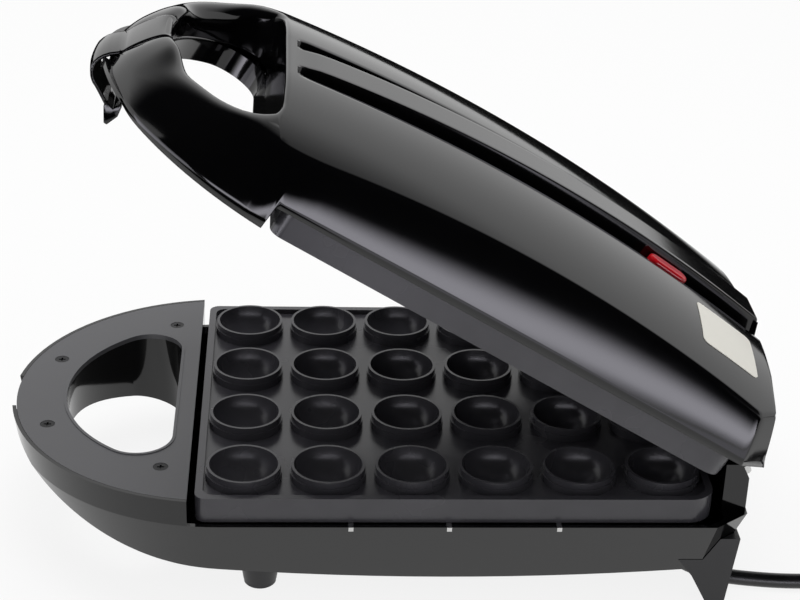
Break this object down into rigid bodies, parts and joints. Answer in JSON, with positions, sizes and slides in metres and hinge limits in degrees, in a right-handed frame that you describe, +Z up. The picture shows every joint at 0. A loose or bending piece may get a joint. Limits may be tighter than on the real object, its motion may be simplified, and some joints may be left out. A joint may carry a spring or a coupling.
{
  "type": "electric nut cookie maker",
  "caption": "Clamshell electric nut cookie maker with a cup plate below, a dome plate in the hinged lid, ring handles and a wrap-round latch, shown open.",
  "frame": {"origin": "on the surface it stands on, under the middle of its length and width without the cord", "axes": "+X towards the hinge, -X towards the handles, +Z up, closed plates lie level"},
  "size_m": [0.4915, 0.199, 0.2447],
  "materials": {
    "shell_black": "glossy moulded",
    "handle_satin": "satin moulded",
    "plate_coating": "cast with a dark non-stick coat",
    "element_tube": "oxidised",
    "shield_bright": "bright sheet",
    "screw_steel": "blackened",
    "pin_steel": "bright",
    "foot_plastic": "moulded",
    "pad_rubber": "soft",
    "lens_red": "clear red",
    "lens_green": "clear green",
    "lamp_glass": "small glow lamps",
    "label_pale": "plain",
    "thermostat_metal": "plain",
    "fuse_metal": "plain",
    "terminal_pale": "moulded",
    "cord_black": "smooth sheath",
    "tie_black": "plain"
  },
  "bodies": {
    "base": {"cord_coil": "cord_black", "cord_tie": "tie_black", "foot_pads": "pad_rubber", "front_feet": "foot_plastic", "hinge_pins": "pin_steel", "lower_handle_cover": "handle_satin", "lower_handle_screws": "screw_steel", "lower_heat_shield": "shield_bright", "lower_heating_element": "element_tube", "lower_housing": "shell_black", "lower_plate": "plate_coating", "lower_plate_screws": "pin_steel", "power_cord": "cord_black", "power_plug": "cord_black", "rear_legs": "foot_plastic", "strain_relief": "cord_black", "terminal_block": "terminal_pale", "thermal_fuse": "fuse_metal", "thermostat": "thermostat_metal"},
    "lid": {"blank_label": "label_pale", "indicator_lamps": "lamp_glass", "latch_pin": "pin_steel", "power_lens": "lens_red", "ready_lens": "lens_green", "upper_handle_cover": "handle_satin", "upper_handle_screws": "screw_steel", "upper_heat_shield": "shield_bright", "upper_heating_element": "element_tube", "upper_housing": "shell_black", "upper_plate": "plate_coating", "upper_plate_screws": "screw_steel"},
    "latch": {"latch": "shell_black"}
  },
  "joints": [
    {"name": "lid_hinge", "type": "hinge", "parent": "base", "child": "lid", "pos_m": [0.16278, 0, 0.0615], "axis": [0, 1, 0], "range_deg": [-30.6, 45]},
    {"name": "latch_hinge", "type": "hinge", "parent": "lid", "child": "latch", "pos_m": [-0.10037, 0, 0.24124], "axis": [0, 1, 0], "range_deg": [0, 50]}
  ]
}
